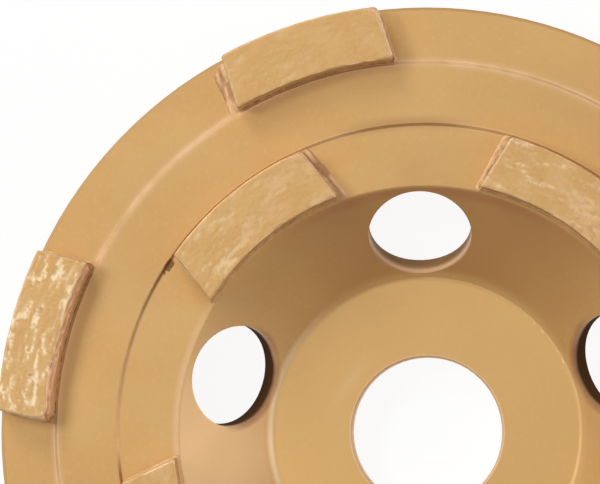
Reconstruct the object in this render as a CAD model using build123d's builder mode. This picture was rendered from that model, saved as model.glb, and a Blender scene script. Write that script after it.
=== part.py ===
from build123d import *
import os
from math import atan2, degrees, radians, sin, tan

# A double row diamond cup wheel for grinding stone and concrete.
# Lengths are in millimetres and angles in degrees.
# The origin is the middle of the bore on the back face of the hub, and +Z points out of the cup.

# Whole wheel
wheel_diameter = 125.0          # over the outer segments
bore_diameter = 22.23

# Hub
hub_thickness = 6.0
hub_face_diameter = 45.6        # flat face inside the cup
hub_boss_height = 1.5           # straight side of the boss on the back
hub_boss_edge = 0.5
bore_edge = 0.3                 # chamfer at both ends of the bore

# Cup
cup_depth = 11.0                # from the hub's face up to the segment seats
cone_wall = 3.2
cup_foot_radius = 0.9           # rounding between the hub's face and the cone
cup_mouth_radius = 0.4          # rounding between the cone and the inner seat band
flange_root_radius = 4.0        # rounding under the rim, where the cone runs into it

# Rim
rim_thickness = 4.5             # under the seat bands
outer_band_width = 7.9          # seat band of the outer row
land_width = 9.5                # raised land between the two bands, with its shoulders
inner_band_width = 8.8          # seat band of the inner row
seat_depth = 0.4                # how far the bands lie below the land
shoulder_run = 0.4              # slope of the land's shoulders, seen from above
rim_edge_chamfer = 0.5

# Vent holes, drilled square to the cone
vent_count = 5
vent_diameter = 15.2
first_vent_angle = 91.7

# Diamond segments
segment_height = 5.0
segment_corner_radius = 0.8
segment_edge_chamfer = 0.5      # around the grinding face
segment_gap = 0.05              # between a segment and the land's shoulder
segment_overhang = 0.2          # how far the outer row stands proud of the rim
segment_setback = 0.4           # from the mouth of the cone to the inner row

outer_segment_count = 6
outer_segment_length = 24.2
first_outer_angle = 107.3

inner_segment_count = 5
inner_segment_length = 24.2
first_inner_angle = 129.2

# The segments are set by hand, so each sits a few degrees off the even pitch of its row.
outer_angle_drift = (0.0, -1.4, -0.9, -0.4, 0.1, 0.6)
inner_angle_drift = (0.0, 3.9, 2.9, 1.9, 0.8)

# Sizes that follow from the ones above
rim_radius = wheel_diameter / 2 - segment_overhang
outer_band_radius = rim_radius - outer_band_width
inner_band_radius = outer_band_radius - land_width
mouth_radius = inner_band_radius - inner_band_width
hub_face_radius = hub_face_diameter / 2
seat_height = hub_thickness + cup_depth
land_height = seat_height + seat_depth
rim_back_height = seat_height - rim_thickness
cone_slope = degrees(atan2(cup_depth, mouth_radius - hub_face_radius))
vent_circle_radius = (hub_face_radius + mouth_radius) / 2
vent_centre_height = hub_thickness + cup_depth / 2


def cone_back_radius(height):
    """Returns the radius of the cone's back, which is parallel to its front, at a height."""
    front_radius = hub_face_radius + (height - hub_thickness) / tan(radians(cone_slope))
    return front_radius + cone_wall / sin(radians(cone_slope))


boss_radius = cone_back_radius(hub_boss_height)
flange_radius = cone_back_radius(rim_back_height)


def corner(sketch, radius, height):
    """Returns the corner of a section that lies nearest to a radius and a height."""
    return sketch.vertices().sort_by_distance((radius, height))[0]


os.makedirs("parts", exist_ok=True)

# Steel core: half a section turned around the axis, then drilled
with BuildPart() as steel_core:
    with BuildSketch(Plane.XZ) as section:
        with BuildLine():
            Polyline(
                (bore_diameter / 2, 0),
                (boss_radius, 0),
                (boss_radius, hub_boss_height),
                (flange_radius, rim_back_height),
                (rim_radius, rim_back_height),
                (rim_radius, seat_height),
                (outer_band_radius, seat_height),
                (outer_band_radius - shoulder_run, land_height),
                (inner_band_radius + shoulder_run, land_height),
                (inner_band_radius, seat_height),
                (mouth_radius, seat_height),
                (hub_face_radius, hub_thickness),
                (bore_diameter / 2, hub_thickness),
                close=True,
            )
        make_face()
        chamfer(corner(section, bore_diameter / 2, 0), bore_edge)
        chamfer(corner(section, bore_diameter / 2, hub_thickness), bore_edge)
        chamfer(corner(section, boss_radius, 0), hub_boss_edge)
        fillet(corner(section, flange_radius, rim_back_height), flange_root_radius)
        chamfer(corner(section, rim_radius, rim_back_height), rim_edge_chamfer)
        chamfer(corner(section, rim_radius, seat_height), rim_edge_chamfer)
        fillet(corner(section, mouth_radius, seat_height), cup_mouth_radius)
        fillet(corner(section, hub_face_radius, hub_thickness), cup_foot_radius)
    revolve(axis=Axis.Z)
    with PolarLocations(vent_circle_radius, vent_count, start_angle=first_vent_angle):
        with Locations(Location((0, 0, vent_centre_height), (0, -cone_slope, 0))):
            Hole(vent_diameter / 2)

steel_core.part.label = "steel_core"
export_step(steel_core.part, "parts/steel_core.step")


def make_segment(label, inner_radius, outer_radius, length, angle):
    """Makes one diamond segment, a curved bar with parallel ends that stands on its seat band."""
    seat = Plane.XY.offset(seat_height).rotated((0, 0, angle))
    with BuildPart() as segment:
        with BuildSketch(seat) as outline:
            Circle(outer_radius)
            Circle(inner_radius, mode=Mode.SUBTRACT)
            Rectangle(outer_radius, length, align=(Align.MIN, Align.CENTER), mode=Mode.INTERSECT)
            fillet(outline.vertices(), segment_corner_radius)
        extrude(amount=segment_height)
        grinding_face = segment.faces().sort_by(Axis.Z)[-1]
        chamfer(grinding_face.edges(), segment_edge_chamfer)
    segment.part.label = label
    export_step(segment.part, f"parts/{label}.step")


def make_row(name, count, first_angle, angle_drift, inner_radius, outer_radius, length):
    """Makes the segments of one row, counter-clockwise from the first."""
    for number in range(count):
        drift = angle_drift[number % len(angle_drift)]
        angle = first_angle + number * 360 / count + drift
        make_segment(f"{name}_{number + 1}", inner_radius, outer_radius, length, angle)


make_row(
    "outer_segment",
    outer_segment_count,
    first_outer_angle,
    outer_angle_drift,
    outer_band_radius + segment_gap,
    wheel_diameter / 2,
    outer_segment_length,
)

make_row(
    "inner_segment",
    inner_segment_count,
    first_inner_angle,
    inner_angle_drift,
    mouth_radius + segment_setback,
    inner_band_radius - segment_gap,
    inner_segment_length,
)
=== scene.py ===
from collections import namedtuple
from math import atan2, cos, pi, radians, sin
from types import SimpleNamespace

import bpy
import numpy as np
from mathutils import Matrix, Vector


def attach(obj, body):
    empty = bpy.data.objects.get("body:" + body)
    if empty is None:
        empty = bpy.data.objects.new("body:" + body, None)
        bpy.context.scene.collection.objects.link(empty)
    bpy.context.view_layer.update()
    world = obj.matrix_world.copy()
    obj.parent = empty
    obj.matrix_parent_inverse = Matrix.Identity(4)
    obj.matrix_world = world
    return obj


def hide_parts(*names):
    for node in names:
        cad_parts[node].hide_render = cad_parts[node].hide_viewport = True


# Looks of a double row diamond cup wheel: gold paint, gritty segments, braze, floor, light and camera.
# Lengths are in metres in the frame of the solids, so a length written in millimetres is times MM.
# The wheel's axis is the z axis. Azimuths are in degrees, counter-clockwise from the x axis.

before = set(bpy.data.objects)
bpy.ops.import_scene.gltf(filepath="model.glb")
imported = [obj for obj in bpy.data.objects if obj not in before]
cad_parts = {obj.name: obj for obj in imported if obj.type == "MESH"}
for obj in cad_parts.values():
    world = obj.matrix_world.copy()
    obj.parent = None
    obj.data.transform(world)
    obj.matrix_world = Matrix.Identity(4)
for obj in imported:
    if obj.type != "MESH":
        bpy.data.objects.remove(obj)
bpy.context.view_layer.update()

MM = 0.001
CORE = "steel_core"
OUTER_ROW = sorted(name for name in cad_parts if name.startswith("outer_segment"))
INNER_ROW = sorted(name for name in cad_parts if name.startswith("inner_segment"))

# Sizes that the frame doesn't give by itself
SEGMENT_GAP = 0.05 * MM           # between a segment and the land's shoulder
SEGMENT_SETBACK = 0.4 * MM        # from the mouth of the cone to the inner row
SHOULDER_RUN = 0.4 * MM           # slope of the land's shoulders, seen from above
HUB_FACE_RADIUS = 22.8 * MM
HUB_THICKNESS = 6.0 * MM
BORE_RADIUS = 11.115 * MM
VENT_RADIUS = 7.6 * MM
VENT_COUNT = 5
FIRST_VENT_AZIMUTH = 91.7


def segment_place(node):
    """Reads where a segment stands from its solid: angle, radii, width, half length, foot and top."""
    points = np.array([vertex.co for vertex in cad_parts[node].data.vertices])
    x, y, z = points.T
    rough_angle = atan2(y.mean(), x.mean())
    turned = (np.arctan2(y, x) - rough_angle + pi) % (2 * pi) - pi
    angle = rough_angle + (turned.min() + turned.max()) / 2
    along = y * cos(angle) - x * sin(angle)
    distance = np.hypot(x, y)
    return SimpleNamespace(
        angle=angle,
        inner=distance.min(),
        outer=distance.max(),
        width=distance.max() - distance.min(),
        half_length=np.abs(along).max(),
        foot=z.min(),
        top=z.max(),
    )


outer_place = segment_place(OUTER_ROW[0])
inner_place = segment_place(INNER_ROW[0])
SEAT_HEIGHT = outer_place.foot
OUTER_BAND_RADIUS = outer_place.inner - SEGMENT_GAP
INNER_BAND_RADIUS = inner_place.outer + SEGMENT_GAP
SHOULDER_RADIUS = OUTER_BAND_RADIUS - SHOULDER_RUN / 2    # middle of the land's outer slope
CREASE_RADIUS = INNER_BAND_RADIUS + SHOULDER_RUN / 2      # middle of its inner slope
MOUTH_RADIUS = inner_place.inner - SEGMENT_SETBACK
CONE_SLOPE = atan2(SEAT_HEIGHT - HUB_THICKNESS, MOUTH_RADIUS - HUB_FACE_RADIUS)
VENT_CIRCLE_RADIUS = (HUB_FACE_RADIUS + MOUTH_RADIUS) / 2
VENT_CENTRE_HEIGHT = (HUB_THICKNESS + SEAT_HEIGHT) / 2


# Camera: straight down on the grinding side, with the upper left part of the wheel in view
PHOTO_WIDTH = 600                 # in pixels
PHOTO_HEIGHT = 484
AXIS_PIXEL = (425, 432)           # where the wheel's axis meets the rim's plane
SCALE = 6.82 / MM                 # pixels to a metre, in the rim's plane
CAMERA_DISTANCE = 0.75            # above the rim's plane
CAMERA_OFFSET = 20 * MM           # the lens stands a little to the right of the axis
SENSOR_WIDTH = 36.0               # in millimetres
CLIP_START = 0.01
CLIP_END = 20.0


def make_camera():
    """Makes the camera and aims it, without shift, at the middle of the photograph."""
    data = bpy.data.cameras.new("camera")
    camera = bpy.data.objects.new("camera", data)
    bpy.context.scene.collection.objects.link(camera)
    aim = Vector((
        (PHOTO_WIDTH / 2 - AXIS_PIXEL[0]) / SCALE,
        (AXIS_PIXEL[1] - PHOTO_HEIGHT / 2) / SCALE,
        SEAT_HEIGHT,
    ))
    camera.location = (CAMERA_OFFSET, 0, SEAT_HEIGHT + CAMERA_DISTANCE)
    sight = aim - camera.location
    back = -sight.normalized()
    right = Vector((0, 1, 0)).cross(back).normalized()
    camera.rotation_mode = "QUATERNION"
    camera.rotation_quaternion = Matrix((right, back.cross(right), back)).transposed().to_quaternion()
    data.sensor_width = SENSOR_WIDTH
    data.lens = SENSOR_WIDTH * sight.length * SCALE / PHOTO_WIDTH
    data.clip_start = CLIP_START
    data.clip_end = CLIP_END
    bpy.context.scene.camera = camera


# Light: a level of 1 on a surface that faces its lamp shows a colour as it is written
WORLD_LEVEL = 0.06
LAMPS = (
    # name, azimuth and elevation in degrees, distance, width, height, level
    ("left", 160, 50, 0.8, 0.22, 0.22, 0.30),
    ("top", 120, 38, 0.8, 0.30, 0.30, 0.34),
    ("right_strip", 3, 14, 0.8, 0.40, 0.25, 0.34),
    ("overhead", 0, 89.9, 0.8, 0.60, 0.60, 0.135),
)


def make_lamp(name, azimuth, elevation, distance, width, height, level):
    """Makes a soft rectangular lamp that faces the wheel."""
    data = bpy.data.lights.new(name, "AREA")
    data.shape = "RECTANGLE"
    data.size = width
    data.size_y = height
    data.energy = level * (pi * distance) ** 2
    lamp = bpy.data.objects.new(name, data)
    bpy.context.scene.collection.objects.link(lamp)
    away = Vector((
        cos(radians(azimuth)) * cos(radians(elevation)),
        sin(radians(azimuth)) * cos(radians(elevation)),
        sin(radians(elevation)),
    ))
    lamp.location = away * distance
    lamp.rotation_mode = "QUATERNION"
    lamp.rotation_quaternion = (-away).to_track_quat("-Z", "Y")
    lamp.visible_camera = False


def connect(tree, socket, value):
    """Gives an input its value: a number, a colour, a vector or another node's socket."""
    if isinstance(value, bpy.types.NodeSocket):
        tree.links.new(value, socket)
    else:
        socket.default_value = value


def add(tree, kind, settings=None, inputs=None):
    """Adds a node with its settings and inputs."""
    made = tree.nodes.new(kind)
    for name, value in (settings or {}).items():
        setattr(made, name, value)
    for name, value in (inputs or {}).items():
        connect(tree, made.inputs[name], value)
    return made


def maths(tree, operation, first, second=0.0):
    """Adds a Math node and returns its result."""
    return add(tree, "ShaderNodeMath", {"operation": operation}, {0: first, 1: second}).outputs[0]


def product(tree, *values):
    """Multiplies values."""
    result = values[0]
    for value in values[1:]:
        result = maths(tree, "MULTIPLY", result, value)
    return result


def vector_maths(tree, operation, first, second=None, result="Vector"):
    """Adds a Vector Math node and returns its result, which for a number is called Value."""
    inputs = {0: first} if second is None else {0: first, 1: second}
    return add(tree, "ShaderNodeVectorMath", {"operation": operation}, inputs).outputs[result]


def combine(tree, x, y, z=0.0):
    """Makes a vector out of three numbers."""
    return add(tree, "ShaderNodeCombineXYZ", None, {0: x, 1: y, 2: z}).outputs[0]


def ramp(tree, value, low, high, to_low=0.0, to_high=1.0):
    """Maps a value smoothly from one range to another."""
    settings = {"interpolation_type": "SMOOTHSTEP"}
    inputs = {"Value": value, "From Min": low, "From Max": high, "To Min": to_low, "To Max": to_high}
    return add(tree, "ShaderNodeMapRange", settings, inputs).outputs["Result"]


def near(tree, value, middle, reach):
    """1 where a value is at the middle, falling to 0 at the reach on both sides."""
    off = maths(tree, "ABSOLUTE", maths(tree, "SUBTRACT", value, middle))
    return ramp(tree, off, 0.0, reach, 1.0, 0.0)


def blend(tree, share, first, second):
    """Mixes two colours, from the first at a share of 0 to the second at a share of 1."""
    mix = add(tree, "ShaderNodeMix", {"data_type": "RGBA"})
    inputs = {socket.identifier: socket for socket in mix.inputs}
    connect(tree, inputs["Factor_Float"], share)
    connect(tree, inputs["A_Color"], first)
    connect(tree, inputs["B_Color"], second)
    return next(socket for socket in mix.outputs if socket.identifier == "Result_Color")


def stain(tree, colour, share, tint, strength=1.0):
    """Lays a tint over a colour where the share is above 0."""
    if strength < 1:
        share = product(tree, share, strength)
    return blend(tree, share, colour, tint)


def grain(tree, vector, size, detail=2.0, roughness=0.5, offset=0.0):
    """Noise from about 0 to 1 whose features are as large as size."""
    if offset:
        vector = vector_maths(tree, "ADD", vector, (offset, offset, offset))
    inputs = {"Vector": vector, "Scale": 1 / size, "Detail": detail, "Roughness": roughness}
    return add(tree, "ShaderNodeTexNoise", None, inputs).outputs["Fac"]


def mesh_values(tree, *names):
    """The values of these names that a mesh holds at its points."""
    return [add(tree, "ShaderNodeAttribute", {"attribute_name": name}).outputs["Fac"] for name in names]


def new_material(name):
    """Makes an empty material and gives back its tree."""
    material = bpy.data.materials.new(name)
    material.use_nodes = True
    material.node_tree.nodes.clear()
    return material, material.node_tree


def rgb(red, green, blue):
    """A colour as it shows on a screen, from 0 to 255, in the linear values that shaders take."""
    def linear(value):
        share = value / 255
        return share / 12.92 if share <= 0.04045 else ((share + 0.055) / 1.055) ** 2.4

    return (linear(red), linear(green), linear(blue), 1.0)


# Paint. The hub's gold and the pale cone are painted light; the deep cone and the shade are painted shade.
GOLD = rgb(209, 165, 102)
GOLD_DEEP = rgb(205, 158, 93)
GOLD_PALE = rgb(222, 184, 130)
GOLD_HUB_PAINTED_LIGHT = rgb(214, 170, 104)
CONE_PALE = rgb(222, 186, 144)
CONE_DEEP = rgb(188, 137, 80)
SHADE = rgb(176, 130, 82)

# Worn and burnt places. Their pale, cream, pink and rust-brown tints also serve as painted highlight and
# painted shade on the core and on the segments' edges.
FLECK_AND_HIGHLIGHT = rgb(246, 222, 178)
EDGE_PALE = rgb(244, 208, 164)
PINK = rgb(230, 186, 142)
WORN = rgb(222, 166, 122)
RUST_AND_SHADE = rgb(170, 108, 70)
BURNT = rgb(156, 108, 64)

# Painted shade: dark lines beside the segments and in the crease, and a corner patch beside the inner row.
# Then the bare walls of the vent holes, deepened as painted shade.
LINE_BROWN = rgb(84, 58, 36)
SHADE_BROWN = rgb(140, 100, 64)
WALL_BROWN = rgb(86, 58, 36)

# Finish
PAINT_METALLIC = 0.25
PAINT_ROUGHNESS = (0.42, 0.50)    # from the smoothest to the roughest patches of the core
SEGMENT_ROUGHNESS = 0.5           # of the segments and the braze round them
BARE_ROUGHNESS = 0.8
PAINT_GLOSS = 0.5
BARE_GLOSS = 0.05
BUMP_STRENGTH = 0.25
BUMP_DISTANCE = 0.05 * MM
MOTTLE_RANGE = (0.35, 0.65)       # of the noise that blends the two golds

# Sizes of the noises in the paint. A skin's height makes bumps.
CORE_MOTTLE_SIZE = 14 * MM
CORE_PATCH_SIZE = 5 * MM
CORE_SPECK_SIZE = 0.7 * MM
CORE_SKIN_SIZE = 0.6 * MM
TURNING_MARK_SIZE = 0.35 * MM
SEGMENT_MOTTLE_SIZE = 4 * MM
SEGMENT_SPECK_SIZE = 0.5 * MM
SEGMENT_PIT_SIZE = 1.1 * MM
SEGMENT_SKIN_SIZE = 0.25 * MM
BEAD_MOTTLE_SIZE = 1.5 * MM
BEAD_SKIN_SIZE = 0.4 * MM


def paint_shader(tree, colour, roughness, height, gloss=PAINT_GLOSS):
    """Finishes a paint's tree: a partly metallic paint with bumps from a height."""
    inputs = {"Height": height, "Strength": BUMP_STRENGTH, "Distance": BUMP_DISTANCE}
    bump = add(tree, "ShaderNodeBump", None, inputs).outputs["Normal"]
    inputs = {
        "Base Color": colour,
        "Roughness": roughness,
        "Metallic": PAINT_METALLIC,
        "Specular IOR Level": gloss,
        "Normal": bump,
    }
    shader = add(tree, "ShaderNodeBsdfPrincipled", None, inputs).outputs["BSDF"]
    add(tree, "ShaderNodeOutputMaterial", None, {"Surface": shader})


RIM_LEVEL = SEAT_HEIGHT - 0.1 * MM        # the rim's front lies above this height
HUB_LEVEL = HUB_THICKNESS - 0.4 * MM      # the hub's face lies above this one, and its back below

# Painted highlight lines along the land's outer shoulder, broken up by noise: reach and colour, the wide
# one under the narrow one
SHOULDER_LINES = ((1.2 * MM, PINK), (0.6 * MM, EDGE_PALE))

# Sides of the wheel on which painted light and shade change the core's paint: azimuth of the middle, reach
# both ways
MOUTH_HIGHLIGHT_SIDE = (188, 50)
CONE_PALE_SIDE = (190, 62)
CONE_DEEP_SIDE = (84, 52)
CONE_UNDER_MOUTH_SHADE_SIDE = (90, 40)
FOOT_SIDE = (178, 60)
CREASE_DARK_SIDE = (156, 22)
CREASE_TOP_SIDE = (93, 14)
CREASE_FAINT_SIDE = (96, 62)
CREASE_SOFT_SIDE = (94, 14)
CREASE_LEFT_SIDE = (184, 26)
TOP_VENT_SIDE = (FIRST_VENT_AZIMUTH, 36)

# A ragged patch of painted shade in the corner beside a segment of the inner row
CORNER_SHADE_AZIMUTH = 147.2
CORNER_SHADE_REACH = 2.3                   # both ways, in degrees
CORNER_SHADE_RADIUS = INNER_BAND_RADIUS - 0.1 * MM
CORNER_SHADE_HALF_WIDTH = 0.8 * MM
CORNER_SHADE_RAG_SIZE = 0.8 * MM           # of its ragged outline

# A pale scuff on the hub's face
SCUFF_START = Vector((-7.6 * MM, 12.8 * MM, 0))
SCUFF_END = Vector((-15.4 * MM, 1.6 * MM, 0))
SCUFF_HALF_WIDTH = 1.6 * MM


def wheel_place(tree):
    """The place of a shaded point: itself, flat on the hub, height, distance from the axis, angle."""
    point = add(tree, "ShaderNodeTexCoord").outputs["Object"]
    split = add(tree, "ShaderNodeSeparateXYZ", None, {0: point})
    x, y, z = (split.outputs[axis] for axis in "XYZ")
    flat = combine(tree, x, y)
    return SimpleNamespace(
        point=point,
        flat=flat,
        height=z,
        radius=vector_maths(tree, "LENGTH", flat, result="Value"),
        angle=maths(tree, "ARCTAN2", y, x),
    )


def towards(tree, at, side):
    """1 in the middle of a side of the wheel, falling to 0 at its reach both ways."""
    middle, reach = side
    cosine = maths(tree, "COSINE", maths(tree, "SUBTRACT", at.angle, radians(middle)))
    return ramp(tree, cosine, cos(radians(reach)), 1.0)


def ring(tree, at, radius, reach, side=None):
    """1 on a ring round the axis, falling to 0 at the reach, and only on one side where that is given."""
    on_ring = near(tree, at.radius, radius, reach)
    return product(tree, on_ring, towards(tree, at, side)) if side else on_ring


def along_line(tree, at, start, end, reach):
    """1 in the middle of a line across the wheel, falling to 0 at its ends and the reach beside it."""
    way = (end - start).normalized()
    from_middle = vector_maths(tree, "SUBTRACT", at.flat, (start + end) / 2)
    along = vector_maths(tree, "DOT_PRODUCT", from_middle, way, "Value")
    aside = vector_maths(tree, "DOT_PRODUCT", from_middle, (-way.y, way.x, 0), "Value")
    return product(tree, near(tree, aside, 0.0, reach), near(tree, along, 0.0, (end - start).length / 2))


def vent_place(tree, at):
    """The place of a point beside its nearest vent hole: outwards along the cone's radius, how deep
    below the cone's face, and how far from the hole's axis."""
    turn = 2 * pi / VENT_COUNT
    share = maths(tree, "DIVIDE", maths(tree, "SUBTRACT", at.angle, radians(FIRST_VENT_AZIMUTH)), turn)
    off = product(tree, maths(tree, "SUBTRACT", share, maths(tree, "ROUND", share)), turn)
    along = product(tree, at.radius, maths(tree, "COSINE", off))
    aside = product(tree, at.radius, maths(tree, "SINE", off))
    outwards = maths(tree, "SUBTRACT", along, VENT_CIRCLE_RADIUS)
    from_centre = combine(tree, outwards, aside, maths(tree, "SUBTRACT", at.height, VENT_CENTRE_HEIGHT))
    into_wall = (sin(CONE_SLOPE), 0, -cos(CONE_SLOPE))
    depth = vector_maths(tree, "DOT_PRODUCT", from_centre, into_wall, "Value")
    crossed = vector_maths(tree, "CROSS_PRODUCT", from_centre, into_wall)
    return outwards, depth, vector_maths(tree, "LENGTH", crossed, result="Value")


def corner_shade(tree, at):
    """Above 0 in a small ragged patch of painted shade beside the end of a segment of the inner row."""
    across = ring(tree, at, CORNER_SHADE_RADIUS, CORNER_SHADE_HALF_WIDTH)
    along = near(tree, at.angle, radians(CORNER_SHADE_AZIMUTH), radians(CORNER_SHADE_REACH))
    ragged = grain(tree, at.point, CORNER_SHADE_RAG_SIZE, detail=3.0, roughness=0.7, offset=0.7)
    inside = product(tree, across, along, ramp(tree, ragged, 0.3, 0.6, 0.3, 2.2))
    return ramp(tree, inside, 0.25, 0.45, 0.0, 0.9)


def base_coat(tree, at):
    """Mottled and specked gold, with painted light that makes the hub's face lighter against the shade of
    the cup.
    """
    colour = blend(tree, ramp(tree, at.mottle, *MOTTLE_RANGE), GOLD_DEEP, GOLD)
    # Painted light: the hub's face is lighter, to offset the shade that the cup casts on it
    on_hub = ramp(tree, at.radius, HUB_FACE_RADIUS, HUB_FACE_RADIUS + 0.5 * MM, 1.0, 0.0)
    colour = stain(tree, colour, product(tree, on_hub, at.above_back), GOLD_HUB_PAINTED_LIGHT, strength=0.85)
    return stain(tree, colour, ramp(tree, at.speck, 0.5, 0.8), GOLD_PALE, strength=0.25)


def edge_highlights(tree, at, colour):
    """Painted highlight lines, broken up by noise, along the land's outer shoulder and the left side of
    the cone's mouth.
    """
    wear_and_highlight = ramp(tree, at.patch, 0.3, 0.7, 0.25, 0.7)
    # Painted highlight along the land's outer shoulder
    for reach, tint in SHOULDER_LINES:
        shoulder = product(tree, ring(tree, at, SHOULDER_RADIUS, reach), wear_and_highlight, at.on_rim)
        colour = stain(tree, colour, shoulder, tint)
    # Painted highlight on the rounded left side of the mouth
    mouth = ring(tree, at, MOUTH_RADIUS + 0.4 * MM, 1.0 * MM, MOUTH_HIGHLIGHT_SIDE)
    near_rim = ramp(tree, at.height, SEAT_HEIGHT - 0.7 * MM, SEAT_HEIGHT - 0.25 * MM)
    return stain(tree, colour, product(tree, mouth, near_rim), PINK, strength=0.6)


def cone_shades(tree, at, colour):
    """Painted light and shade on the cone: a painted highlight on the left, painted shade at the top, and
    a red-brown painted shade band under its mouth there.
    """
    on_cone = product(
        tree,
        ramp(tree, at.height, SEAT_HEIGHT, SEAT_HEIGHT - 0.4 * MM),
        ramp(tree, at.radius, HUB_FACE_RADIUS + 0.5 * MM, HUB_FACE_RADIUS + 2 * MM),
        at.above_back,
    )
    # Painted highlight on the left of the cone
    pale = product(tree, on_cone, towards(tree, at, CONE_PALE_SIDE))
    colour = stain(tree, colour, pale, CONE_PALE, strength=0.35)
    # Painted shade at the top of the cone
    deep = product(tree, on_cone, towards(tree, at, CONE_DEEP_SIDE))
    colour = stain(tree, colour, deep, CONE_DEEP, strength=0.75)
    # Painted shade, red-brown, under the mouth at the top
    under_mouth = product(tree, ring(tree, at, MOUTH_RADIUS - 0.7 * MM, 1.3 * MM, CONE_UNDER_MOUTH_SHADE_SIDE), on_cone)
    return stain(tree, colour, under_mouth, RUST_AND_SHADE, strength=0.4)


def hub_edges(tree, at, colour):
    """Painted highlight lines round the hub's face, brightest on the left, and round the bore."""
    # Painted highlight along the hub's foot, brightest on the left
    bright = maths(tree, "ADD", product(tree, towards(tree, at, FOOT_SIDE), 0.6), 0.1)
    foot = product(tree, ring(tree, at, HUB_FACE_RADIUS + 0.45 * MM, 0.8 * MM), bright, at.above_back)
    colour = stain(tree, colour, foot, FLECK_AND_HIGHLIGHT)
    # Painted highlight round the bore
    bore = ramp(tree, at.radius, BORE_RADIUS + 0.3 * MM, BORE_RADIUS + 0.45 * MM, 1.0, 0.0)
    return stain(tree, colour, bore, EDGE_PALE, strength=0.85)


def crease_shades(tree, at, colour):
    """Painted highlight and painted shade along the crease between the land and the inner row: pale, soft
    and dark stretches.
    """
    crease = product(tree, ring(tree, at, CREASE_RADIUS, 0.5 * MM), at.on_rim)
    dark_at_top = product(tree, towards(tree, at, CREASE_TOP_SIDE), 0.25)
    dark = maths(tree, "MAXIMUM", towards(tree, at, CREASE_DARK_SIDE), dark_at_top)
    faint = product(tree, towards(tree, at, CREASE_FAINT_SIDE), ramp(tree, dark, 0.0, 0.3, 1.0, 0.0))
    # Painted highlight where the crease would otherwise be shaded
    colour = stain(tree, colour, product(tree, crease, faint), EDGE_PALE, strength=0.45)
    # Painted shade, soft and wide, at the top
    soft = ring(tree, at, INNER_BAND_RADIUS + 0.5 * MM, 1.5 * MM, CREASE_SOFT_SIDE)
    colour = stain(tree, colour, product(tree, soft, at.on_rim), SHADE, strength=0.6)
    # Painted shade along the crease on the left
    left = product(tree, crease, towards(tree, at, CREASE_LEFT_SIDE))
    colour = stain(tree, colour, left, SHADE, strength=0.6)
    # Painted shade: a dark brown line in the crease
    line = product(tree, crease, dark, ramp(tree, at.patch, 0.3, 0.7, 0.2, 0.6))
    return stain(tree, colour, line, SHADE_BROWN)


def hub_scuff(tree, at, colour):
    """A pale scuff on the hub's face."""
    scuff = along_line(tree, at, SCUFF_START, SCUFF_END, SCUFF_HALF_WIDTH)
    scuff = product(tree, scuff, ramp(tree, at.speck, 0.3, 0.6, 0.25, 0.5))
    return stain(tree, colour, scuff, GOLD_PALE)


def vent_shades(tree, at, colour):
    """Vent holes: a painted highlight on the front of the top one's wall, a red-brown painted shade on the
    hub's side of the others, and bare brown walls deepened as painted shade, less at the top one. Gives
    back how bare and shaded the walls are too."""
    outwards, depth, from_axis = vent_place(tree, at)
    on_wall = maths(tree, "LESS_THAN", from_axis, VENT_RADIUS + 0.06 * MM)
    in_wall = product(tree, on_wall, maths(tree, "GREATER_THAN", depth, 0.0))
    at_top = towards(tree, at, TOP_VENT_SIDE)
    # Painted highlight on the lit front of the top hole's wall
    lip = product(tree, near(tree, depth, 0.5 * MM, 0.9 * MM), in_wall, at_top)
    colour = stain(tree, colour, lip, PINK)

    # Painted shade, red-brown, on the hub's side of the other holes
    edge = product(
        tree,
        ramp(tree, from_axis, VENT_RADIUS, VENT_RADIUS + 0.9 * MM, 1.0, 0.0),
        ramp(tree, outwards, 0.0, -0.5 * VENT_RADIUS),
        maths(tree, "SUBTRACT", 1.0, at_top),
        ramp(tree, at.patch, 0.3, 0.6, 0.3, 0.8),
        at.above_back,
        ramp(tree, depth, 0.4 * MM, 1.2 * MM, 1.0, 0.0),
    )
    colour = stain(tree, colour, edge, RUST_AND_SHADE)

    # Bare brown walls, darkened further as painted shade, less so at the top hole
    ragged = maths(tree, "ADD", depth, product(tree, at.patch, 0.5 * MM))
    ragged = maths(tree, "SUBTRACT", ragged, product(tree, at_top, 0.7 * MM))
    less_at_top = ramp(tree, at_top, 0.0, 1.0, 1.0, 0.6)
    bare_and_shaded = product(tree, ramp(tree, ragged, 0.3 * MM, 1.5 * MM), in_wall, less_at_top)
    return stain(tree, colour, bare_and_shaded, WALL_BROWN), bare_and_shaded


def turned_relief(tree, at):
    """The height of fine turning marks round the axis, under the uneven skin of the paint."""
    across_marks = combine(tree, at.radius, product(tree, at.height, 0.2))
    turned = grain(tree, across_marks, TURNING_MARK_SIZE)
    skin = grain(tree, at.point, CORE_SKIN_SIZE)
    return maths(tree, "ADD", product(tree, turned, 0.35), product(tree, skin, 0.65))


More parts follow.
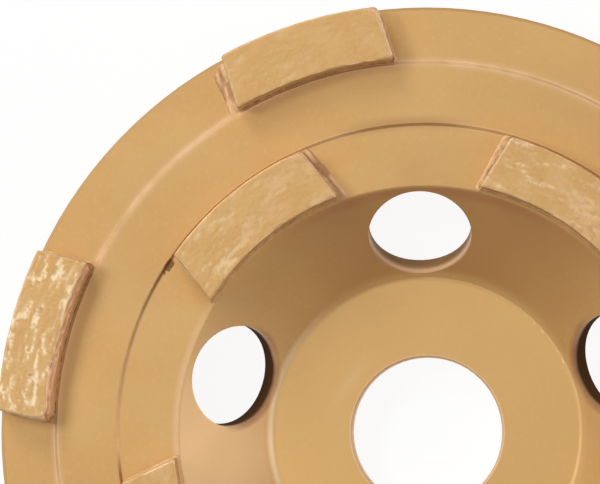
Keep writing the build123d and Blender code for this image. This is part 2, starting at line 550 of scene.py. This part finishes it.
def core_material():
    """Gold paint over turned and forged steel, brown inside the vent holes."""
    material, tree = new_material("core_paint")
    at = wheel_place(tree)
    at.on_rim = maths(tree, "GREATER_THAN", at.height, RIM_LEVEL)
    at.above_back = maths(tree, "GREATER_THAN", at.height, HUB_LEVEL)
    at.mottle = grain(tree, at.point, CORE_MOTTLE_SIZE, detail=3.0)
    at.patch = grain(tree, at.point, CORE_PATCH_SIZE, offset=0.3)
    at.speck = grain(tree, at.point, CORE_SPECK_SIZE, detail=3.0)

    colour = base_coat(tree, at)
    colour = edge_highlights(tree, at, colour)
    colour = cone_shades(tree, at, colour)
    colour = hub_edges(tree, at, colour)
    colour = crease_shades(tree, at, colour)
    # Painted shade in the corner beside a segment of the inner row
    corner_shade_mask = product(tree, corner_shade(tree, at), at.on_rim)
    colour = stain(tree, colour, corner_shade_mask, SHADE_BROWN)
    colour = hub_scuff(tree, at, colour)
    colour, bare_and_shaded_wall = vent_shades(tree, at, colour)

    bare_and_shaded = maths(tree, "MAXIMUM", bare_and_shaded_wall, corner_shade_mask)
    painted = ramp(tree, at.mottle, 0.3, 0.7, *PAINT_ROUGHNESS)
    roughness = maths(tree, "MAXIMUM", painted, product(tree, bare_and_shaded, BARE_ROUGHNESS))
    gloss = ramp(tree, bare_and_shaded, 0.0, 1.0, PAINT_GLOSS, BARE_GLOSS)
    paint_shader(tree, colour, roughness, turned_relief(tree, at), gloss)
    return material


def segment_material():
    """Gold paint over sintered grit, with pale flecks where the grit stands out, worn bevels lightened as
    painted highlight, and painted highlight along the top edges.
    """
    material, tree = new_material("segment_paint")
    point = add(tree, "ShaderNodeTexCoord").outputs["Object"]
    fleck, patch, edge, wear_and_highlight, streak = mesh_values(tree, "fleck", "patch", "edge", "wear_and_highlight", "streak")
    mottle = grain(tree, point, SEGMENT_MOTTLE_SIZE, detail=3.0)
    speck = grain(tree, point, SEGMENT_SPECK_SIZE, detail=3.0)
    pit = grain(tree, point, SEGMENT_PIT_SIZE, offset=0.6)
    colour = blend(tree, ramp(tree, mottle, *MOTTLE_RANGE), GOLD_DEEP, GOLD)
    colour = stain(tree, colour, streak, GOLD_PALE)
    colour = stain(tree, colour, ramp(tree, speck, 0.4, 0.7), GOLD_PALE, strength=0.15)
    colour = stain(tree, colour, patch, PINK)
    # Wear on the broad bevels, lightened as painted highlight
    colour = stain(tree, colour, wear_and_highlight, WORN)
    # Painted highlight along the segment's top edges
    colour = stain(tree, colour, edge, EDGE_PALE)
    colour = stain(tree, colour, product(tree, ramp(tree, pit, 0.56, 0.66), streak), RUST_AND_SHADE)
    colour = stain(tree, colour, fleck, FLECK_AND_HIGHLIGHT)
    paint_shader(tree, colour, SEGMENT_ROUGHNESS, grain(tree, point, SEGMENT_SKIN_SIZE))
    return material


def bead_material():
    """Braze under the same paint, burnt in streaks, with a dark line of painted shade beside the segment.
    """
    material, tree = new_material("bead_paint")
    at = wheel_place(tree)
    line, burn = mesh_values(tree, "line", "burn")
    mottle = grain(tree, at.point, BEAD_MOTTLE_SIZE, detail=3.0)
    colour = blend(tree, ramp(tree, mottle, *MOTTLE_RANGE, 0.3, 0.85), GOLD, PINK)
    colour = stain(tree, colour, burn, BURNT)
    # Painted shade along the segment's foot
    colour = stain(tree, colour, line, LINE_BROWN, strength=0.8)
    # Painted shade in the corner beside a segment of the inner row
    corner_shade_mask = corner_shade(tree, at)
    colour = stain(tree, colour, corner_shade_mask, SHADE_BROWN)
    gloss = ramp(tree, corner_shade_mask, 0.0, 1.0, PAINT_GLOSS, BARE_GLOSS)
    skin = grain(tree, at.point, BEAD_SKIN_SIZE)
    paint_shader(tree, colour, SEGMENT_ROUGHNESS, skin, gloss)
    return material


WHITE = (1, 1, 1, 1)
FLOOR_WHITE = (0.9, 0.9, 0.9, 1)
FLOOR_SHARE = 0.88                # share of the floor that glows plain white, the rest keeps shadows
FLOOR_GLOW = 1.04                 # brings the lit floor to just under white
FLOOR_SIZE = 12.0
FLOOR_DROP = 0.02 * MM


def seen_directly(tree):
    """1 for the rays that show a background: from the camera, off gloss and through glass."""
    path = add(tree, "ShaderNodeLightPath")
    camera, glossy, clear = (
        path.outputs[name] for name in ("Is Camera Ray", "Is Glossy Ray", "Is Transmission Ray")
    )
    return maths(tree, "MAXIMUM", maths(tree, "MAXIMUM", camera, glossy), clear)


def mix_shaders(tree, share, first, second):
    """Mixes two shaders, from the first at a share of 0 to the second at a share of 1."""
    return add(tree, "ShaderNodeMixShader", None, {0: share, 1: first, 2: second}).outputs[0]


def make_floor():
    """A plain white floor that keeps the wheel's shadow and can be looked through from below."""
    bpy.ops.mesh.primitive_plane_add(size=FLOOR_SIZE, location=(0, 0, -FLOOR_DROP))
    floor = bpy.context.object
    floor.name = "floor"
    material, tree = new_material("floor_white")
    lit = add(tree, "ShaderNodeBsdfDiffuse", None, {"Color": FLOOR_WHITE}).outputs[0]
    glow = add(tree, "ShaderNodeEmission", None, {"Color": WHITE, "Strength": FLOOR_GLOW}).outputs[0]
    above = mix_shaders(tree, product(tree, seen_directly(tree), FLOOR_SHARE), lit, glow)
    clear = add(tree, "ShaderNodeBsdfTransparent").outputs[0]
    from_below = add(tree, "ShaderNodeNewGeometry").outputs["Backfacing"]
    whole = mix_shaders(tree, from_below, above, clear)
    add(tree, "ShaderNodeOutputMaterial", None, {"Surface": whole})
    floor.data.materials.append(material)


def make_world():
    """A plain dim sky that shows as white."""
    world = bpy.data.worlds.new("world")
    bpy.context.scene.world = world
    world.use_nodes = True
    tree = world.node_tree
    tree.nodes.clear()
    dim, white = (
        add(tree, "ShaderNodeBackground", None, {"Color": WHITE, "Strength": level}).outputs[0]
        for level in (WORLD_LEVEL, 1.0)
    )
    whole = mix_shaders(tree, seen_directly(tree), dim, white)
    add(tree, "ShaderNodeOutputWorld", None, {"Surface": whole})


LATTICE = 48                      # cells a side before a noise repeats
SEEDS_EACH = 10                   # seeds of noises kept for a segment and its braze


def noise(points, cell, seed):
    """Smooth noise from -1 to 1 at points, from random values on a lattice of cells."""
    values = np.random.default_rng(seed).uniform(-1, 1, (LATTICE, LATTICE, LATTICE))
    scaled = points / np.array(cell) + LATTICE / 2
    base = np.floor(scaled).astype(int)
    part = scaled - base
    part = part * part * (3 - 2 * part)
    total = np.zeros(len(points))
    for corner in np.ndindex(2, 2, 2):
        weight = np.where(corner, part, 1 - part).prod(axis=1)
        i, j, k = ((base + corner) % LATTICE).T
        total += weight * values[i, j, k]
    return total


def smooth_step(value, low, high):
    """Rises smoothly from 0 at low to 1 at high."""
    share = np.clip((value - low) / (high - low), 0, 1)
    return share * share * (3 - 2 * share)


def bend(place, points):
    """Carries points from a bar's own length, width and height to its place on the wheel."""
    t, w, z = points.T
    forward = np.sqrt((place.inner + w) ** 2 - t ** 2)
    c, s = cos(place.angle), sin(place.angle)
    return np.stack((forward * c - t * s, forward * s + t * c, z + place.foot), axis=1)


def new_piece(name, place, points, faces, values, material):
    """Makes a smooth mesh at a segment's place, with named values at its points, and lets it ride
    with the wheel."""
    mesh = bpy.data.meshes.new(name)
    # The bend mirrors a bar, so its faces are turned round
    mesh.from_pydata(bend(place, points).tolist(), [], [face[::-1] for face in faces])
    mesh.update()
    mesh.polygons.foreach_set("use_smooth", [True] * len(mesh.polygons))
    for attribute, numbers in values.items():
        layer = mesh.attributes.new(attribute, "FLOAT", "POINT")
        layer.data.foreach_set("value", numbers.astype(np.float32))
    mesh.materials.append(material)
    piece = bpy.data.objects.new(name, mesh)
    bpy.context.scene.collection.objects.link(piece)
    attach(piece, "root")
    return piece


# Looks of each segment as in the photograph. The first end is the clockwise one. Flecks and relief
# go up to 1. Wear is the width of the bevel, in millimetres, at the first end, the second end, the
# side nearer the axis and the side further out. An end's braze has a reach in millimetres, a dark
# line of painted shade and burnt streaks.
Looks = namedtuple("Looks", "flecks relief wear first_braze second_braze")
Braze = namedtuple("Braze", "reach line burn")
SEGMENT_LOOKS = {
    "outer_segment_1": Looks(
        0.10, 0.6, (0.80, 0.40, 0.22, 0.22), Braze(0.3, 0.1, 0.0), Braze(2.2, 0.3, 0.7)),
    "outer_segment_2": Looks(
        1.00, 1.0, (0.25, 0.30, 1.30, 0.22), Braze(0.25, 0.0, 0.0), Braze(0.3, 0.1, 0.0)),
    "inner_segment_1": Looks(
        0.38, 0.8, (0.50, 0.30, 0.22, 0.22), Braze(1.1, 0.4, 0.7), Braze(0.4, 0.1, 0.0)),
    "inner_segment_2": Looks(
        0.40, 0.7, (0.35, 0.25, 0.25, 0.22), Braze(0.3, 0.1, 0.2), Braze(0.9, 0.4, 0.4)),
    "inner_segment_5": Looks(
        0.55, 0.7, (0.25, 0.30, 0.22, 0.22), Braze(0.8, 0.3, 0.3), Braze(1.2, 1.0, 0.15)),
}
PLAIN_LOOKS = Looks(
    0.40, 0.7, (0.35, 0.25, 0.40, 0.22), Braze(0.6, 0.3, 0.2), Braze(0.8, 0.4, 0.4))

# Segments: a fine grid bent round the wheel, with grit pressed into it
GRID_STEP = 0.16 * MM
FAR = 1.0                         # past any segment, where a side stays square
WORN_REACH = 3.0 * MM             # how far the wear of an edge is felt along its neighbours
BEVEL_POWER = 1.25                # between a flat bevel at 1 and a round one at 2

# Cells of the noises in a segment, along it, across it and up
BROAD_CELL = 3.0 * MM
COARSE_CELL = (3.0 * MM, 0.9 * MM, 0.9 * MM)
MEDIUM_CELL = (1.1 * MM, 0.45 * MM, 0.45 * MM)
FINE_CELL = 0.28 * MM

# Depths in millimetres: how far the whole surface is sunk, and what each noise and a chip add
SURFACE_DEPTH = 0.08
COARSE_DEPTH = 0.02
MEDIUM_DEPTH = 0.025
FINE_DEPTH = 0.03
CHIP_DEPTH = 0.08


def bar_grid(length, width, height):
    """The points and faces of a bar: a grid over its top and down its sides, and one face below."""
    across = round(width / GRID_STEP)
    along = round(length / GRID_STEP)
    up = round(height / GRID_STEP)
    xs = np.linspace(-length / 2, length / 2, along + 1)
    ys = np.linspace(0, width, across + 1)
    top = [(x, y, height) for x in xs for y in ys]

    def index(i, j):
        return i * (across + 1) + j

    faces = [
        (index(i, j), index(i + 1, j), index(i + 1, j + 1), index(i, j + 1))
        for i in range(along)
        for j in range(across)
    ]
    rim = [index(i, 0) for i in range(along)]
    rim += [index(along, j) for j in range(across)]
    rim += [index(i, across) for i in range(along, 0, -1)]
    rim += [index(0, j) for j in range(across, 0, -1)]
    points = list(top)
    upper = rim
    for level in range(up - 1, -1, -1):
        lower = list(range(len(points), len(points) + len(rim)))
        points += [(top[k][0], top[k][1], height * level / up) for k in rim]
        for k in range(len(rim)):
            after = (k + 1) % len(rim)
            faces.append((upper[after], upper[k], lower[k], lower[after]))
        upper = lower
    faces.append(tuple(reversed(upper)))
    return np.array(points), faces


def wear_width(points, place, wear):
    """The width of the bevel near each point, from the wear of the four upper edges."""
    t, w = points[:, 0], points[:, 1]
    half_length = place.half_length
    more_at_second_end = 0.75 + 0.25 * smooth_step(t, -half_length, half_length)
    edges = (
        # distance from the edge, share of its wear
        (t + half_length, 1),
        (half_length - t, 1),
        (w, more_at_second_end),
        (place.width - w, 1),
    )
    least = min(wear)
    total = np.full(len(points), least)
    for amount, (distance, share) in zip(wear, edges):
        total += (amount - least) * smooth_step(-distance, -WORN_REACH, 0) * share
    return total * MM


def bevelled(points, low, high, bevel):
    """Cuts the corners of a box with a soft bevel, and gives the outward direction at each point."""
    width = bevel[:, None]
    core = np.clip(points, low + width, high - width)
    outward = points - core
    size = (np.abs(outward) ** BEVEL_POWER).sum(axis=1) ** (1 / BEVEL_POWER)
    surface = core + outward * (bevel / size)[:, None]
    return surface, outward / np.linalg.norm(outward, axis=1)[:, None]


def round_edge(outward):
    """How far a point lies round an edge: 0 on a flat face, 0.7 in the middle of an edge."""
    return np.sort(np.abs(outward), axis=1)[:, 1]


def grit_values(points, place, outward, bevel, grit, flecks):
    """What the paint shows at each point of a segment: flecks, patches, streaks, wear that is partly
    painted highlight, and pale edges that are painted highlight.
    """
    turn = round_edge(outward)
    upwards = outward[:, 2]
    on_top = smooth_step(upwards, 0.2, 0.5)
    above_side = smooth_step(upwards, 0.0, 0.15)
    beside = smooth_step(np.abs(outward[:, 1]), 0.2, 0.5)
    past_edge = np.maximum(smooth_step(turn, 0.12, 0.3), smooth_step(-upwards, -0.7, -0.5))
    bevel_start = smooth_step(turn, 0.03, 0.12) * (1 - past_edge)
    broad_wear = smooth_step(bevel, 0.3 * MM, 0.7 * MM) * past_edge
    narrow_wear = smooth_step(turn, 0.1, 0.5) * (1 - broad_wear)
    uneven = 0.4 + 0.6 * smooth_step(grit.broad + 0.5 * grit.coarse, -0.6, 0.6)

    spots = smooth_step(grit.broad + 0.5 * grit.medium, -0.2, 1.0) * (0.18 + 0.17 * flecks)
    streaks = smooth_step(grit.coarse + 0.5 * grit.medium + 0.5 * grit.broad, -0.5, 0.9)
    grains = grit.coarse + 0.9 * grit.medium + 0.5 * grit.fine
    pale_grains = smooth_step(grains, 0.5 - 0.4 * flecks, 1.5 - 0.5 * flecks) * (1 - broad_wear)
    along = points[:, 0] / (2 * place.half_length)
    to_second_end = flecks ** 2 + (1 - flecks ** 2) * smooth_step(along, -0.15, 0.4)
    return {
        "fleck": pale_grains * to_second_end * (0.1 + 0.85 * flecks),
        "patch": np.maximum(spots, broad_wear * above_side),
        "streak": streaks * (0.05 + 0.6 * flecks),
        "wear_and_highlight": broad_wear * above_side * beside,
        "edge": np.maximum(0.75 * uneven * narrow_wear, 0.8 * bevel_start) * on_top,
    }


def make_segment(node, seed, material):
    """Stands a gritty bar in place of a plain segment."""
    place = segment_place(node)
    looks = SEGMENT_LOOKS.get(node, PLAIN_LOOKS)
    height = place.top - place.foot
    points, faces = bar_grid(2 * place.half_length, place.width, height)
    grit = SimpleNamespace(
        broad=noise(points, BROAD_CELL, seed + 3),
        coarse=noise(points, COARSE_CELL, seed),
        medium=noise(points, MEDIUM_CELL, seed + 1),
        fine=noise(points, FINE_CELL, seed + 2),
    )

    bevel = wear_width(points, place, looks.wear) * (1 + 0.25 * grit.broad + 0.15 * grit.medium)
    low = np.array((-place.half_length, 0, -FAR))
    high = np.array((place.half_length, place.width, height))
    surface, outward = bevelled(points, low, high, bevel)
    chips = smooth_step(grit.coarse + grit.medium, 0.3, 1.0) * smooth_step(round_edge(outward), 0.1, 0.5)
    relief = COARSE_DEPTH * grit.coarse + MEDIUM_DEPTH * grit.medium + FINE_DEPTH * grit.fine
    depth = SURFACE_DEPTH + looks.relief * (relief + CHIP_DEPTH * chips)
    surface -= outward * (np.clip(depth, 0, None) * MM)[:, None]
    surface[:, 2] = np.where(points[:, 2] <= 0, 0, surface[:, 2])

    values = grit_values(points, place, outward, bevel, grit, looks.flecks)
    piece = new_piece(node + "_grit", place, surface, faces, values, material)
    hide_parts(node)


# Braze: a low fillet round a segment's foot, apart from the outer row's overhanging side.
# Its reaches are in millimetres.
BEAD_STEP = 0.15 * MM
BEAD_HEIGHT = 0.42 * MM
BEAD_SUNK = 0.05 * MM             # how far its underside lies below the seat
BEAD_CORNER = 0.6 * MM            # rounding of its path at a segment's corners
BEAD_LAND_REACH = 0.35            # along the land's shoulder
# The braze's dark lines are painted shade
BEAD_LAND_LINES = (0.8, 0.35)     # its dark line there, on the outer and on the inner row
BEAD_MOUTH_REACH = 0.36           # from the inner row to the mouth of the cone
BEAD_MOUTH_LINE = 0.4             # its dark line there
BEAD_MOUTH_RISE = 1.3             # there it is a straight slope, this much higher
BEAD_MOUTH_CALM = 0.7             # and this much more even
BEAD_FREE_START = 0.6 * MM        # from the overhanging side to where the outer row's bead starts
BEAD_TAPER = 1.2 * MM             # over which it grows to its full size there
BEAD_TIP_REACH = 0.3              # from this share of its reach
BEAD_NARROWING = 0.45             # how much narrower it is at the second end, near the axis
BEAD_LUMPS = 0.035 * MM
BEAD_SECTION = (
    # share of the reach, share of the height, dark line: from inside the wall to the seat
    (-0.25, 0.90, 0.3),
    (0.00, 0.75, 0.8),
    (0.10, 0.50, 1.0),
    (0.24, 0.36, 1.0),
    (0.34, 0.32, 0.8),
    (0.44, 0.30, 0.4),
    (0.54, 0.31, 0.1),
    (0.64, 0.32, 0.0),
    (0.73, 0.31, 0.0),
    (0.82, 0.27, 0.0),
    (0.93, 0.14, 0.0),
    (1.00, -0.06, 0.0),
)

# Cells of the noises in the braze, which streaks stretch across the segment
SWELL_CELL = 2.2 * MM
UNEVEN_CELL = 0.45 * MM
RAGGED_CELL = 0.4 * MM
STREAK_CELL = (0.5 * MM, 2.5 * MM, FAR)


def bead_path(half_length, width, is_outer):
    """The foot's outline with its round corners, and the outward direction at each point. The outer
    row's path is open and mirrored, so its overhanging side is at a width of 0."""
    start = BEAD_FREE_START if is_outer else 0.0
    stations = [(-half_length, w) for w in np.arange(start, width, BEAD_STEP)]
    stations += [(t, width) for t in np.arange(-half_length, half_length, BEAD_STEP)]
    stations += [(half_length, w) for w in np.arange(width, start, -BEAD_STEP)]
    if not is_outer:
        before = [(t, 0.0) for t in np.arange(0, -half_length, -BEAD_STEP)]
        stations = before + stations + [(t, 0.0) for t in np.arange(half_length, 0, -BEAD_STEP)]
    path = np.array(stations)
    low = np.array((-half_length + BEAD_CORNER, -FAR if is_outer else BEAD_CORNER))
    high = np.array((half_length - BEAD_CORNER, width - BEAD_CORNER))
    core = np.clip(path, low, high)
    outward = path - core
    outward /= np.linalg.norm(outward, axis=1)[:, None]
    return core + outward * BEAD_CORNER, outward


def in_space(flat, height=0.0):
    """Gives points on the seat a height."""
    return np.column_stack((flat, np.broadcast_to(height, len(flat))))


def bead_looks(looks, width, foot, outward, is_outer, seed):
    """The braze's reach, rise, dark line and burnt streaks along its path."""
    first, second = looks.first_braze, looks.second_braze
    swell = noise(in_space(foot), SWELL_CELL, seed + 5)
    fine = noise(in_space(foot), UNEVEN_CELL, seed + 6)
    first_end = np.clip(-outward[:, 0], 0, 1)
    second_end = np.clip(outward[:, 0], 0, 1)
    mouth_side = np.clip(-outward[:, 1], 0, 1)
    land_side = np.clip(1 - first_end - second_end - mouth_side, 0, 1)

    reach = land_side * BEAD_LAND_REACH + mouth_side * BEAD_MOUTH_REACH
    reach += first_end * first.reach + second_end * second.reach
    near_axis = foot[:, 1] / width if is_outer else 1 - foot[:, 1] / width
    reach *= 1 - BEAD_NARROWING * second_end * near_axis
    uneven = 1 - BEAD_MOUTH_CALM * mouth_side
    reach = reach * MM * (1 + uneven * (0.2 * swell + 0.08 * fine))
    rise = BEAD_HEIGHT * (1 + 0.25 * uneven * swell)
    if is_outer:
        steps = np.arange(len(foot))
        from_tip = np.minimum(steps, steps[::-1]) * BEAD_STEP
        taper = np.sqrt(np.clip(from_tip / BEAD_TAPER, 0, 1))
        reach *= BEAD_TIP_REACH + (1 - BEAD_TIP_REACH) * taper
        rise *= taper

    line = land_side * BEAD_LAND_LINES[0 if is_outer else 1]
    line += mouth_side * BEAD_MOUTH_LINE + first_end * first.line + second_end * second.line
    return SimpleNamespace(
        reach=reach,
        rise=rise,
        line=np.clip(line * (0.75 + 0.5 * swell + 0.3 * fine), 0, 1),
        burn=first_end * first.burn + second_end * second.burn,
        mouth_side=mouth_side,
    )


def bead_surface(foot, outward, bead, seed):
    """The braze's points across its path, one station after the other, with their dark line and burnt
    streaks, and the number of points at a station."""
    points, lines, burns = [], [], []
    for share, up, dark in BEAD_SECTION:
        flat = foot + outward * (share * bead.reach)[:, None]
        ragged = noise(in_space(flat), RAGGED_CELL, seed + 7)
        streaks = noise(in_space(flat), STREAK_CELL, seed + 8)
        slope = BEAD_MOUTH_RISE * min(1 - share, 1)
        profile = (1 - bead.mouth_side) * up + bead.mouth_side * slope
        lumps = BEAD_LUMPS * ragged if 0 < share < 0.95 else 0
        points.append(in_space(flat, profile * bead.rise + lumps))
        lines.append(np.clip(dark * bead.line * (0.75 + 0.7 * ragged), 0, 1))
        burns.append(bead.burn * smooth_step(streaks, -0.3, 0.4))
    for share in (BEAD_SECTION[-1][0], BEAD_SECTION[0][0]):
        flat = foot + outward * (share * bead.reach)[:, None]
        points.append(in_space(flat, -BEAD_SUNK))
        lines.append(np.zeros(len(foot)))
        burns.append(np.zeros(len(foot)))
    values = {"line": np.stack(lines, axis=1).reshape(-1), "burn": np.stack(burns, axis=1).reshape(-1)}
    return np.stack(points, axis=1).reshape(-1, 3), values, len(points)


def strip_faces(stations, rows, is_ring):
    """The faces of a strip with the same closed section at every station, a ring or capped at its ends."""
    faces = []
    for i in range(stations if is_ring else stations - 1):
        here, there = i * rows, (i + 1) % stations * rows
        for j in range(rows):
            after = (j + 1) % rows
            faces.append((here + j, here + after, there + after, there + j))
    if not is_ring:
        faces.append(tuple(range(rows))[::-1])
        faces.append(tuple(range((stations - 1) * rows, stations * rows)))
    return faces


def make_bead(node, seed, material):
    """Lays braze round a segment's foot."""
    place = segment_place(node)
    looks = SEGMENT_LOOKS.get(node, PLAIN_LOOKS)
    is_outer = node in OUTER_ROW
    foot, outward = bead_path(place.half_length, place.width, is_outer)
    bead = bead_looks(looks, place.width, foot, outward, is_outer, seed)
    points, values, rows = bead_surface(foot, outward, bead, seed)
    faces = strip_faces(len(foot), rows, is_ring=not is_outer)
    # Its mirrored path turns the outer row's faces round by itself
    if is_outer:
        points[:, 1] = place.width - points[:, 1]
    else:
        faces = [face[::-1] for face in faces]
    piece = new_piece(node + "_braze", place, points, faces, values, material)


def dress_core(material):
    """Gives the steel core its paint."""
    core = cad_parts[CORE]
    core.data.materials.clear()
    core.data.materials.append(material)


bpy.context.scene.view_settings.view_transform = "Standard"
make_camera()
make_world()
make_floor()
for lamp in LAMPS:
    make_lamp(*lamp)

dress_core(core_material())
segment_paint = segment_material()
bead_paint = bead_material()
for number, node in enumerate(OUTER_ROW + INNER_ROW):
    make_segment(node, SEEDS_EACH * number, segment_paint)
    make_bead(node, SEEDS_EACH * number, bead_paint)
